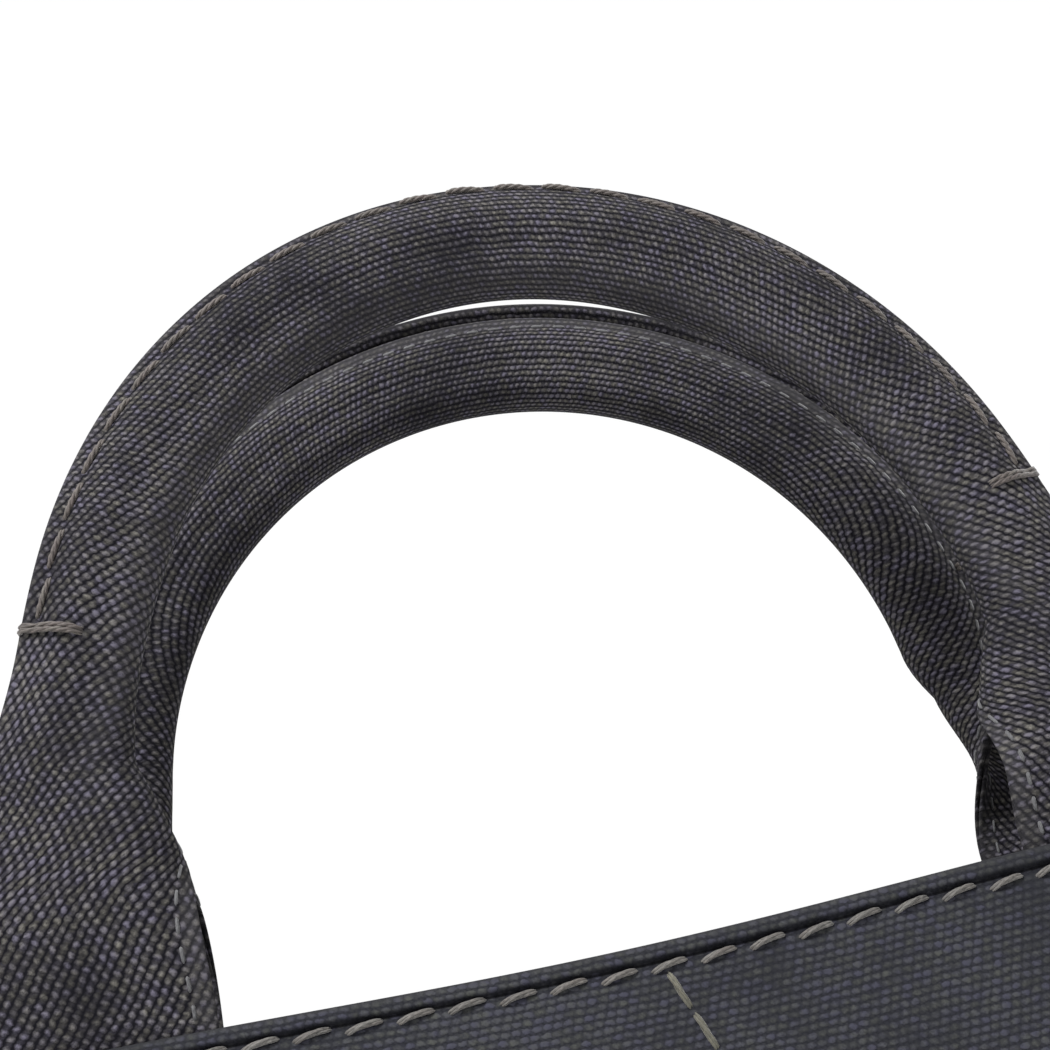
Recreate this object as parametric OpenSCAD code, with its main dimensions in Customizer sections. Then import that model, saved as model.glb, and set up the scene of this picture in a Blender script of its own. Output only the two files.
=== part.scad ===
// Open canvas tool bag for the garden: a tapered tote with a boarded base, a lined
// body, a turned hem, an inside tool pocket and two folded, hand-stitched handles.
// Millimetres, +Z up, origin on the floor under the middle of the base, front at -Y.

/* [Bag] */
// Width of the bag over its two side gussets
bag_w = 380; // [330:1:480]
// Height of the hem above the floor
bag_h = 290; // [250:1:380]
// Depth of the bag at the floor, over the front and back panels
base_d = 130; // [110:1:180]
// Depth of the bag at the mouth, over the front and back panels
mouth_d = 72; // [66:1:100]

/* [Cloth] */
// Thickness of the heavy canvas of the panels
canvas = 1.5; // [1:0.1:2]
// Thickness of the plain cotton lining
lining = 0.8; // [0.5:0.1:1.2]
// Thickness of the stiff board under the lining of the base
board = 3; // [2:0.5:4]
// Height of the turned hem facing inside the mouth
facing_h = 46; // [40:1:60]

/* [Handles] */
// Flat width of a handle strap, before it is folded
strap_w = 52; // [48:1:62]
// Thickness of one of the two plies of a handle strap
ply = 1.2; // [0.8:0.1:1.4]
// Middle of a strap's foot, to each side of the bag's centre line
foot_x = 105; // [100:1:130]
// Length of strap sewn down inside the hem
foot_len = 38; // [25:1:40]
// Radius of the arched grip, measured to the middle of the folded strap
arch_r = 99; // [85:1:104]
// Height of the arch's centre above the hem
arch_z = 50; // [40:1:60]
// Radius of the fold that runs along the inside of the grip
fold_r = 5.6; // [5:0.1:6.5]
// Height above the hem where the strap starts to close into its fold
fold_from = 6; // [3:1:20]
// Height above the hem where the fold is fully closed
fold_to = 74; // [60:1:75]
// How much lower the rear edge of the closed strap lies than its front edge
edge_step = 2.6; // [0:0.1:4]
// Height above the hem of the bar tacks that end the saddle stitching
tack_z = 76; // [74:1:90]

/* [Stitching] */
// Diameter of the heavy waxed thread
thread = 1.3; // [1:0.1:1.6]
// Length of one heavy stitch
stitch = 7.4; // [5:0.1:9]
// Distance from the start of one heavy stitch to the next
stitch_pitch = 9.6; // [9.2:0.1:12]
// Distance of the hem stitching below the hem
hem_inset = 4; // [3:0.5:8]

/* [Tool pocket] */
// Width of the pocket on the inside of the front panel
pocket_w = 270; // [200:1:300]
// Height of the pocket along the wall
pocket_h = 130; // [90:1:150]
// Distance of the pocket's mouth below the hem
pocket_drop = 66; // [60:1:90]
// Room left inside the pocket, from wall to pocket cloth
pocket_ease = 9; // [8:0.5:12]
// Place of the dividing stitch line, to the right of the centre line
divider_x = 10; // [-40:1:40]

/* [Hidden] */
// Clearance between pieces on different bodies, and between plies
gap = 0.3;
ply_gap = 0.05;
// Lean of the front and back panels, in degrees from upright
lean = atan((base_d - mouth_d) / 2 / bag_h);
// A thickness t of wall takes t * slant of the bag's depth
slant = 1 / cos(lean);
// Height of the lined floor inside the bag
floor_z = canvas + board + lining;
// Clear room around the base board
board_room = 2;

// The grip's middle stands this far behind the strap's foot
grip_setback = 4;
// Half the space between the two edges of the folded strap
edge_space = ply + 0.1;
// Fold of the strap: its flanks close by this many degrees on each side, so that they
// meet at the edges. Each pass brings the angle nearer.
function closing_angle(angle, passes) = passes == 0 ? angle
    : closing_angle(asin((fold_r * cos(angle) - edge_space)
        / ((strap_w - fold_r * PI * (1 + angle / 90)) / 2)), passes - 1);
pinch = closing_angle(10, 12);
// Width of cloth that bends round the fold
fold_arc = fold_r * PI * (1 + pinch / 90);
// Middle of the bend across the closed strap, from the strap's centre line
bend_shift = edge_step / 2;
// Reach of the folded strap across the grip, measured on its middle surface
grip_reach = fold_r * (1 + sin(pinch))
    + ((strap_w - fold_arc) / 2 + bend_shift) * cos(pinch);
// Distance of the saddle stitching from the strap's front edge
saddle_inset = 4.2;
// Length of a bar tack
tack_len = 10.5;
// A strap starts this far above the hem, so that it turns clear of its foot
strap_start = 0.98;
// How late the inner side of a leg turns from its foot to the grip, as a power
leg_power = 3;
// Steps across the bending part of the strap, rings up a leg and rings round the grip
across = 11;
leg_rings = 20;
grip_rings = 24;
// Depth of a strap's middle surface where it passes the hem
strap_y = mouth_d / 2 - (2 * canvas + ply) * slant;
// Angle of the bar tacks round the arch, from the horizontal
tack_angle = asin((tack_z - arch_z) / arch_r);
// Radius of the inner side of the arch, measured on the strap's middle surface
inner_r = arch_r - grip_reach / 2;
// Radius of the soft core inside the fold, and of the circle that it follows
core_r = fold_r - ply - gap;
core_arch_r = inner_r + fold_r;
// Width of a pocket's sewn edge and of the pleat beside it
sewn_edge = 6;
pleat = 10;

canvas_colour = [0.17, 0.17, 0.20];
facing_colour = [0.14, 0.14, 0.17];
lining_colour = [0.33, 0.33, 0.35];
board_colour = [0.55, 0.47, 0.36];
thread_colour = [0.42, 0.38, 0.34];

// Half the bag's depth at height z, at depth t inside the panels' outer faces
function half_depth(z, t) =
    base_d / 2 - z * (base_d - mouth_d) / 2 / bag_h - t * slant;

// A slab of the front (side -1) or back (side 1) wall: x0 to x1 across, z0 to z1 up,
// and t0 to t1 deep, counted inwards from the panel's outer face
module wall_slab(side, x0, x1, z0, z1, t0, t1) {
    translate([x0, 0, 0])
    rotate([90, 0, 90])
    linear_extrude(height = x1 - x0)
    polygon([[side * half_depth(z0, t0), z0], [side * half_depth(z1, t0), z1],
        [side * half_depth(z1, t1), z1], [side * half_depth(z0, t1), z0]]);
}

// A slab across the bag between the walls, clear of their first t millimetres
module cross_slab(x0, x1, z0, z1, t) {
    translate([x0, 0, 0])
    rotate([90, 0, 90])
    linear_extrude(height = x1 - x0)
    polygon([[-half_depth(z0, t), z0], [-half_depth(z1, t), z1],
        [half_depth(z1, t), z1], [half_depth(z0, t), z0]]);
}

// ---- Body of the bag ----

module panel(side) {
    color(canvas_colour)
    wall_slab(side, -bag_w / 2, bag_w / 2, 0, bag_h, 0, canvas);
}

// A slab of the left (side -1) or right (side 1) end wall, t0 to t1 deep
module end_slab(side, z0, z1, t0, t1, wall) {
    x_outer = bag_w / 2 - t0;
    x_inner = bag_w / 2 - t1;
    cross_slab(min(side * x_outer, side * x_inner), max(side * x_outer, side * x_inner),
        z0, z1, wall);
}

module gusset(side) {
    color(canvas_colour)
    end_slab(side, 0, bag_h, 0, canvas, canvas);
}

module base_panel() {
    color(canvas_colour)
    cross_slab(-bag_w / 2 + canvas, bag_w / 2 - canvas, 0, canvas, canvas);
}

module base_board() {
    room = canvas + board_room;
    color(board_colour)
    cross_slab(-bag_w / 2 + room, bag_w / 2 - room, canvas, canvas + board, room);
}

module base_lining() {
    color(lining_colour)
    cross_slab(-bag_w / 2 + canvas, bag_w / 2 - canvas, canvas + board, floor_z, canvas);
}

module wall_lining(side) {
    color(lining_colour)
    wall_slab(side, -bag_w / 2 + canvas, bag_w / 2 - canvas,
        floor_z, bag_h - facing_h, canvas, canvas + lining);
}

module end_lining(side) {
    color(lining_colour)
    end_slab(side, floor_z, bag_h - facing_h, canvas, canvas + lining, canvas + lining);
}

module wall_facing(side) {
    color(facing_colour)
    wall_slab(side, -bag_w / 2 + canvas, bag_w / 2 - canvas,
        bag_h - facing_h, bag_h, canvas, 2 * canvas);
}

module end_facing(side) {
    color(facing_colour)
    end_slab(side, bag_h - facing_h, bag_h, canvas, 2 * canvas, 2 * canvas);
}

// ---- Strap feet, sewn flat to the facing ----

module strap_foot(side, hand) {
    color(canvas_colour)
    wall_slab(side, hand * foot_x - strap_w / 2, hand * foot_x + strap_w / 2,
        bag_h - foot_len, bag_h, 2 * canvas, 2 * canvas + 2 * ply);
}

// A box of thread on the foot's inner face: two rows across and two rows up
module foot_box(side, hand) {
    inset = 5;
    depth = 2 * canvas + 2 * ply;
    half = strap_w / 2 - inset;
    top = bag_h - inset;
    low = bag_h - foot_len + inset;
    x = hand * foot_x;
    for (z = [top - thread, low])
        wall_slab(side, x - half, x + half, z, z + thread, depth, depth + thread / 2);
    for (x_row = [x - half, x + half - thread])
        wall_slab(side, x_row, x_row + thread, low + thread, top - thread,
            depth, depth + thread / 2);
}

module foot_stitching(side) {
    color(thread_colour)
    for (hand = [-1, 1])
        foot_box(side, hand);
}

// ---- Inside tool pocket, hung on the front wall ----

// Plan of the pocket cloth from x0 to x1, on the face that is t from the wall's side:
// it lies on the wall at both sewn edges, and stands off by the ease between two pleats
function pocket_skin(x0, x1, t) = [[x0, t], [x0 + sewn_edge - t / 2, t],
    [x0 + pleat - t / 2, pocket_ease + t], [x1 - pleat + t / 2, pocket_ease + t],
    [x1 - sewn_edge + t / 2, t], [x1, t]];

function reversed(list) = [for (i = [len(list) - 1:-1:0]) list[i]];

// Moves its children from the plan of the pocket to the inner face of the front wall,
// with their foot a distance below the hem
module on_front_wall(below_hem) {
    z = bag_h - below_hem;
    translate([0, -half_depth(z, canvas + lining), z])
    rotate([-lean, 0, 0])
    children();
}

// One compartment's cloth, h high, thickened outwards by t from a thickness of t0
module pocket_cloth(x0, x1, h, t0, t) {
    linear_extrude(height = h)
    polygon(concat(pocket_skin(x0, x1, t0), reversed(pocket_skin(x0, x1, t0 + t))));
}

module tool_pocket() {
    color(facing_colour)
    on_front_wall(pocket_drop + pocket_h)
    for (ends = [[-pocket_w / 2, divider_x], [divider_x, pocket_w / 2]]) {
        pocket_cloth(ends[0], ends[1], pocket_h, 0, canvas);
        linear_extrude(height = canvas)
        polygon([for (i = [1:4]) pocket_skin(ends[0], ends[1], 0)[i]]);
    }
}

module pocket_binding() {
    binding_h = 9;
    color(canvas_colour)
    on_front_wall(pocket_drop + binding_h)
    for (ends = [[-pocket_w / 2, divider_x], [divider_x, pocket_w / 2]])
        pocket_cloth(ends[0], ends[1], binding_h, canvas, lining);
}

// ---- Heavy stitching through the hem and down the pocket's dividing line ----

// A row of stitches laid on the outer face of a wall, just under the hem
module wall_row(side) {
    count = floor((bag_w - stitch_pitch) / stitch_pitch);
    start = -(count * stitch_pitch - (stitch_pitch - stitch)) / 2;
    z = bag_h - hem_inset;
    color(thread_colour)
    for (i = [0:count - 1])
        wall_slab(side, start + i * stitch_pitch, start + i * stitch_pitch + stitch,
            z - thread, z, -thread / 2, 0);
}

// The same row on a gusset
module end_row(side) {
    run = 2 * half_depth(bag_h, canvas) - 2 * stitch_pitch;
    count = floor(run / stitch_pitch);
    start = -(count * stitch_pitch - (stitch_pitch - stitch)) / 2;
    x0 = side > 0 ? bag_w / 2 : -bag_w / 2 - thread / 2;
    color(thread_colour)
    for (i = [0:count - 1])
        translate([x0, start + i * stitch_pitch, bag_h - hem_inset - thread])
        cube([thread / 2, stitch, thread]);
}

module divider_stitching() {
    tilt = 10;
    rows = floor((pocket_drop + pocket_h - 2 * stitch_pitch) / stitch_pitch);
    color(thread_colour)
    for (i = [0:rows - 1]) {
        z = bag_h - hem_inset - 2 * thread - (i + 1) * stitch_pitch;
        x = divider_x + (i < 2 ? (1.5 - i) * stitch_pitch * -sin(tilt) : 0);
        wall_slab(-1, x - thread / 2, x + thread / 2, z, z + stitch, -thread / 2, 0);
    }
}

// ---- Handles ----

// How far the strap is folded at height z above the hem: 0 is flat, 1 is closed
function fold_at(z) =
    sin(90 * max(0, min(1, (z - fold_from) / (fold_to - fold_from))));

// Where the bend starts across the strap: it enters at the rear edge and slides inwards
function bend_start(f) =
    (1 - f) * (strap_w / 2 + fold_arc / 2 - bend_shift) + bend_shift - fold_arc / 2;

// Turn of the cloth in degrees for each millimetre across the bend
function bend_rate(f) = max(0.001, f * (180 + 2 * pinch) / fold_arc);

// Heading of the cloth in its own cross-section at v across the strap, in degrees:
// straight across from the front edge, evenly round the bend, and straight on
function cloth_heading(v, f) = 180 + pinch * f
    - bend_rate(f) * max(0, min(fold_arc, v - bend_start(f)));

// Place of the cloth's middle surface in the section, from the front edge
function cloth_point(v, f) =
    let (first = 180 + pinch * f,
        last = cloth_heading(v, f),
        start = bend_start(f),
        before = min(v, start) + strap_w / 2,
        beyond = max(0, v - start - fold_arc),
        arc = 180 / PI / bend_rate(f))
    before * [cos(first), sin(first)]
        + arc * [sin(first) - sin(last), cos(last) - cos(first)]
        + beyond * [cos(last), sin(last)];

// Where the cloth reaches furthest inwards: where it runs straight back, or its edge
function innermost(f) =
    min(strap_w / 2, bend_start(f) + (90 + pinch * f) / bend_rate(f));

// A point of the section, t millimetres outside the cloth's middle surface
// The section is drawn outwards from the leg's inner side.
function section_point(v, f, t) =
    let (head = cloth_heading(v, f))
    cloth_point(v, f)
        + [-cloth_point(innermost(f), f)[0], f * (grip_setback - edge_space)]
        + t * [cos(head + 90), sin(head + 90)];

// Closed outline of one ply, t0 to t1 outside the middle surface. The front flank
// never bends, so it has no points between its edge and the bend.
function across_points() = let (start = bend_start(1))
    concat([-strap_w / 2],
        [for (i = [0:across]) start + i / across * (strap_w / 2 - start)]);
function ply_section(f, t0, t1) =
    concat([for (v = across_points()) section_point(v, f, t1)],
        reversed([for (v = across_points()) section_point(v, f, t0)]));

// Stations along the strap: x and z of its inner side, its outward direction, and the
// height that its fold goes by. A leg's inner side turns from the edge of its foot to
// the grip, and above that it is an arc.
function leg_station(z) =
    let (foot_side = foot_x - strap_w / 2)
    z < arch_z ? [-foot_side - (inner_r - foot_side) * pow(z / arch_z, leg_power),
            z, 180, z]
        : grip_station(180 - asin((z - arch_z) / arch_r));
function grip_station(angle) = [inner_r * cos(angle), arch_z + inner_r * sin(angle),
    angle, arch_z + arch_r * sin(angle)];
function mirrored_station(s) = [-s[0], s[1], 180 - s[2], s[3]];

closed_angle = asin((fold_to - arch_z) / arch_r);
left_leg = [for (i = [0:leg_rings])
    leg_station(strap_start + (fold_to - strap_start) * i / leg_rings)];
grip = [for (i = [1:grip_rings - 1])
    grip_station(180 - closed_angle - (180 - 2 * closed_angle) * i / grip_rings)];
right_leg = [for (s = reversed(left_leg)) mirrored_station(s)];
stations = concat(left_leg, grip, right_leg);

// A section point placed at a station
function placed(station, p) = [station[0] + p[0] * cos(station[2]), p[1],
    station[1] + p[0] * sin(station[2])];

// Solid through a list of rings of n points each. A ring goes out along one side of
// the cloth and back along the other, so an end is closed by a strip between its sides,
// and the two sides split their four-cornered faces along the same diagonal.
module loft(rings) {
    n = len(rings[0]);
    last = (len(rings) - 1) * n;
    points = [for (ring = rings) for (p = ring) p];
    sides = [for (i = [0:len(rings) - 2]) for (j = [0:n - 1])
        let (a = i * n + j, b = i * n + (j + 1) % n)
        each j < n / 2 ? [[a, b, b + n], [a, b + n, a + n]]
            : [[a, b, a + n], [b, b + n, a + n]]];
    ends = [for (j = [0:n / 2 - 2])
        let (k = n - 1 - j)
        each [[j + 1, j, k], [k - 1, j + 1, k],
            last * [1, 1, 1] + [j, j + 1, k], last * [1, 1, 1] + [j + 1, k - 1, k]]];
    polyhedron(points, concat(sides, ends));
}

module strap_ply(t0, t1) {
    loft([for (s = stations) [for (p = ply_section(fold_at(s[3]), t0, t1)) placed(s, p)]]);
}

// Puts a handle on the front (side -1) or back (side 1) of the bag. A handle is drawn
// as the front one, with its foot's middle surface at y = 0 and the hem at z = 0.
module at_mouth(side) {
    translate([0, side * strap_y, bag_h])
    mirror([0, side > 0 ? 1 : 0, 0])
    children();
}

module strap(side) {
    color(canvas_colour)
    at_mouth(side)
    strap_ply(ply_gap, ply);
}

module strap_facing(side) {
    color(facing_colour)
    at_mouth(side)
    strap_ply(-ply, -ply_gap);
}

module core(side) {
    core_angle = tack_angle + 3;
    color("white")
    at_mouth(side)
    translate([0, grip_setback - bend_shift * sin(pinch), arch_z])
    rotate([90, 0, 0])
    rotate([0, 0, core_angle])
    rotate_extrude(angle = 180 - 2 * core_angle, $fn = 96)
    translate([core_arch_r, 0])
    circle(r = core_r, $fn = 24);
}

// A round thread of length l on the grip's front (face -1) or back face (face 1),
// centred at an angle round the arch and inset below the front edge, turned by twist
// out of the arch's own direction
module thread_on_grip(angle, inset, face, l, twist) {
    v = face < 0 ? inset - strap_w / 2 : strap_w / 2 + edge_step - inset;
    p = section_point(v, 1, ply + thread / 2 + ply_gap);
    r = inner_r + p[0];
    translate([r * cos(angle), p[1], arch_z + r * sin(angle)])
    rotate([0, twist - angle, 0])
    rotate([face * pinch * sin(twist), 0, face * pinch * cos(twist)])
    cylinder(h = l, d = thread, center = true, $fn = 16);
}

module saddle_stitching(side) {
    saddle_pitch = 10.2;
    row_r = inner_r + grip_reach - saddle_inset;
    step = saddle_pitch / row_r * 180 / PI;
    count = floor((180 - 2 * tack_angle) / step);
    first = 90 - (count - 1) * step / 2;
    color(thread_colour)
    at_mouth(side)
    for (i = [0:count - 1])
        for (face = [-1, 1])
            thread_on_grip(first + i * step, saddle_inset, face, stitch + 1, 0);
}

// Two wraps of thread across the strap at each end of the saddle stitching
module tack(side, hand) {
    angle = hand < 0 ? 180 - tack_angle : tack_angle;
    wrap_step = (thread + ply_gap) / arch_r * 180 / PI;
    color(thread_colour)
    at_mouth(side)
    for (i = [-1, 1])
        for (face = [-1, 1])
            thread_on_grip(angle + hand * i * wrap_step / 2, saddle_inset + tack_len / 2,
                face, tack_len, 90);
}

panel(-1);  // front_panel
panel(1);  // back_panel
gusset(-1);  // left_gusset
gusset(1);  // right_gusset
base_panel();
base_board();
base_lining();
wall_lining(-1);  // front_lining
wall_lining(1);  // back_lining
end_lining(-1);  // left_lining
end_lining(1);  // right_lining
wall_facing(-1);  // front_facing
wall_facing(1);  // back_facing
end_facing(-1);  // left_facing
end_facing(1);  // right_facing
strap_foot(-1, -1);  // front_left_foot
strap_foot(-1, 1);  // front_right_foot
strap_foot(1, -1);  // back_left_foot
strap_foot(1, 1);  // back_right_foot
tool_pocket();
pocket_binding();
divider_stitching();
wall_row(-1);  // front_hem_stitching
wall_row(1);  // back_hem_stitching
end_row(-1);  // left_hem_stitching
end_row(1);  // right_hem_stitching
foot_stitching(-1);  // front_foot_stitching
foot_stitching(1);  // back_foot_stitching
strap(-1);  // front_strap
strap_facing(-1);  // front_strap_facing
core(-1);  // front_core
saddle_stitching(-1);  // front_saddle_stitching
tack(-1, -1);  // front_left_tack
tack(-1, 1);  // front_right_tack
strap(1);  // back_strap
strap_facing(1);  // back_strap_facing
core(1);  // back_core
saddle_stitching(1);  // back_saddle_stitching
tack(1, -1);  // back_left_tack
tack(1, 1);  // back_right_tack
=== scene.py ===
import math

import bpy
import numpy as np
from mathutils import Matrix


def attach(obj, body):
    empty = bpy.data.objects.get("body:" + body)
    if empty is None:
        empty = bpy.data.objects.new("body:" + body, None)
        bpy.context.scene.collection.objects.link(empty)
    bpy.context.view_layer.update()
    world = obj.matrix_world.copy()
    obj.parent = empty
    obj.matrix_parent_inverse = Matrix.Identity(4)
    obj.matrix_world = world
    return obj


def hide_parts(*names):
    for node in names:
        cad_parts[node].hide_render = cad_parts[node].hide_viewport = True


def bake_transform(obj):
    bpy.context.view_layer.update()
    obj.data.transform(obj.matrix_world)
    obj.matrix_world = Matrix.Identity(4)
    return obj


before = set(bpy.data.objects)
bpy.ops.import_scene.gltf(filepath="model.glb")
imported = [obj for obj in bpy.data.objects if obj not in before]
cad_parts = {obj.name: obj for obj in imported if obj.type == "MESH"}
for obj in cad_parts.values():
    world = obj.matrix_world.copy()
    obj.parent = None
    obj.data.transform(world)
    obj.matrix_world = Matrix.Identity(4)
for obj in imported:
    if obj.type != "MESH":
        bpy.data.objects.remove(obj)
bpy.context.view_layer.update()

# ---- Outer canvas of the body ----
# A tapered tote that stands on a boarded base: front and back panels and two gussets of
# heavy charcoal plain-weave canvas, seamed at the corners, with a hem turned in at the
# mouth. Lengths are in millimetres until a mesh is made.
BAG_W, BAG_H, BASE_D, MOUTH_D = 380.0, 290.0, 130.0, 72.0
CORNER, FOOT_ROUND, HEM_ROUND = 10.0, 3.5, 1.6
CANVAS, FOOT_X = 1.5, 105.0
WIDE = ("front", "back")
WALLS = WIDE + ("left", "right")


def eased(x):
    """Rises smoothly from 0 at 0 to 1 at 1: three times the square less twice the cube."""
    x = np.clip(x, 0, 1)
    return x * x * (3 - 2 * x)


def bell(x, middle, width):
    """A hump of height 1 at the middle that dies away over the width, as a Gauss curve."""
    return np.exp(-((x - middle) / width) ** 2)


def half_depth(z):
    """Half the depth of the flat-sided bag: it narrows evenly from the floor to the hem."""
    return BASE_D / 2 - z * (BASE_D - MOUTH_D) / 2 / BAG_H


def sagged(p):
    """Moves points of the flat-sided bag to where the soft cloth hangs. The panels go out by
    a belly that is highest below the middle and by slanting folds, the gussets go in towards
    the mouth, and the hem dips between the handles' feet."""
    x, y, z = p[..., 0], p[..., 1], p[..., 2]
    u, h = np.clip(x / (BAG_W / 2), -1.02, 1.02), np.clip(z / BAG_H, 0, 1)
    v = np.clip(y / half_depth(z), -1.02, 1.02)
    turn = 1.7 * (v > 0)
    slack = np.sin(math.pi * h)
    belly = 8.0 * np.sin(math.pi * h ** 0.7) * np.cos(math.pi / 2 * np.clip(u, -1, 1))
    from_foot = np.abs(x) - FOOT_X - 0.55 * (BAG_H - z) * np.sign(np.abs(x) - 60)
    drag = bell(from_foot, 0, 16) - 0.8 * bell(from_foot, 22, 18)
    folds = slack * (2.0 * h * np.sin(x / 24 + 3 * h + turn)
                     + 3.2 * h * h * drag
                     + 2.6 * u * u * np.sin((np.abs(x) - 0.9 * z) / 31 + turn)
                     + 2.0 * np.sin(x / 61 - z / 38 + 2 * turn))
    out = belly + folds + 0.8 * h ** 8 * np.sin(x / 33 + 0.4 + turn)
    end = (3.5 * slack - 9 * h ** 3 + 1.2 * slack * np.sin(z / 24 + 4 * v)) * (1 - v * v)
    at_end = np.sign(u) * np.abs(u) ** 7
    near = (1 - v) / 2
    dip = -2.8 * np.cos(math.pi / 2 * np.clip(x / 115, -1, 1)) ** 2
    rise = 2.9 * x / 100 * (1 - eased((np.abs(x) - 110) / 80))
    hang = near * (dip + rise) + (1 - near) * 0.6 * dip - 3 * (1 - v * v) * u ** 8
    return np.stack([x + at_end * end, y + v * out, z + h ** 4 * hang], -1)


def wall_point(wall, s, z, t):
    """Point of a wall, s along it from its middle, z above the floor and t inside its outer
    face: straight between the corners, then round each corner as far as the seam halfway
    round it, drawn in round the foot, and moved by the sag."""
    wide = wall in WIDE
    straight = (BAG_W / 2 if wide else half_depth(z)) - CORNER
    turn = np.clip((np.abs(s) - straight) / CORNER, 0, math.pi / 4)
    low = FOOT_ROUND - np.minimum(z, FOOT_ROUND)
    reach = CORNER - t - FOOT_ROUND + np.sqrt(FOOT_ROUND ** 2 - low ** 2)
    a = np.sign(s) * (np.minimum(np.abs(s), straight) + reach * np.sin(turn))
    b = (half_depth(z) if wide else BAG_W / 2) - CORNER + reach * np.cos(turn)
    sign = -1 if wall in ("front", "left") else 1
    x, y = (a, sign * b) if wide else (sign * b, a)
    return sagged(np.stack(np.broadcast_arrays(x, y, z), -1).astype(float))


class Shade:
    """One output of a node in a material. Sums and products of these add the Math nodes that
    work them out, and put() adds any other node."""

    def __init__(self, tree, socket=None):
        self.tree, self.socket = tree, socket

    def put(self, kind, inputs=None, out=0, **settings):
        """Adds a node: its settings first, then its sockets' values or links."""
        node = self.tree.nodes.new(kind)
        for name, value in settings.items():
            setattr(node, name, value)
        for key, value in (inputs or {}).items():
            if isinstance(value, Shade):
                self.tree.links.new(value.socket, node.inputs[key])
            else:
                node.inputs[key].default_value = value
        return Shade(self.tree, node.outputs[out])

    def math(self, operation, *values, clamp=False):
        """A Math node on the values, which need not hold this one."""
        return self.put("ShaderNodeMath", dict(enumerate(values)), operation=operation,
                        use_clamp=clamp)

    def clamped(self):
        """This, kept between 0 and 1."""
        return self.math("MINIMUM", self, 1.0, clamp=True)

    def blend(self, first, second):
        """The first colour where this is 0 and the second where it is 1."""
        return self.put("ShaderNodeMix", {0: self, 6: first, 7: second}, out=2,
                        data_type="RGBA")

    def __add__(self, other):
        return self.math("ADD", self, other)

    def __sub__(self, other):
        return self.math("SUBTRACT", self, other)

    def __rsub__(self, other):
        return self.math("SUBTRACT", other, self)

    def __mul__(self, other):
        return self.math("MULTIPLY", self, other)

    def __truediv__(self, other):
        return self.math("DIVIDE", self, other)

    __radd__, __rmul__ = __add__, __mul__


def new_material(name, constants):
    """A material with a Principled shader, its constant sockets set, and a Shade to build
    on."""
    material = bpy.data.materials.new(name)
    material.use_nodes = True
    shader = material.node_tree.nodes["Principled BSDF"]
    for key, value in constants.items():
        shader.inputs[key].default_value = value
    return material, Shade(material.node_tree)


def painted(material, paint, rough, normal):
    """Links what changes over the surface to a material's shader."""
    inputs = material.node_tree.nodes["Principled BSDF"].inputs
    for key, value in (("Base Color", paint), ("Roughness", rough), ("Normal", normal)):
        material.node_tree.links.new(value.socket, inputs[key])
    return material


def colour(red, green, blue):
    """An opaque colour from its three linear parts."""
    return (red, green, blue, 1.0)


def weave(at, across, along, tilt, length, width):
    """Heights from 0 to 1 of a plain weave's two sets of crowns, and a number of its own for
    each one of the first. The crowns are ovals, tilted by an angle: the first set at the
    corners and middles of cells, the other, turned square to them, between those."""
    cosine, sine = tilt.math("COSINE", tilt), tilt.math("SINE", tilt)
    heights, numbers = [], []
    for half, other in ((0.0, 0.0), (0.5, 0.5), (0.0, 0.5), (0.5, 0.0)):
        i, j = at[0] / across + half, at[1] / along + other
        column, row = i.math("FLOOR", i), j.math("FLOOR", j)
        x, y = (i - column - 0.5) * across, (j - row - 0.5) * along
        p, q = x * cosine + y * sine, y * cosine - x * sine
        p, q = (p / length, q / width) if half == other else (p / width, q / length)
        heights.append(p.math("SUBTRACT", 1.0, p * p + q * q, clamp=True))
        if half == other:
            cell = p.put("ShaderNodeCombineXYZ", {0: column, 1: row, 2: half})
            numbers.append(p.put("ShaderNodeTexWhiteNoise", {0: cell}, noise_dimensions="3D"))
    first = heights[0].math("GREATER_THAN", heights[0], heights[1])
    return (first.math("MAXIMUM", *heights[:2]), first.math("MAXIMUM", *heights[2:]),
            numbers[0] * first + numbers[1] * (1 - first))


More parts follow.
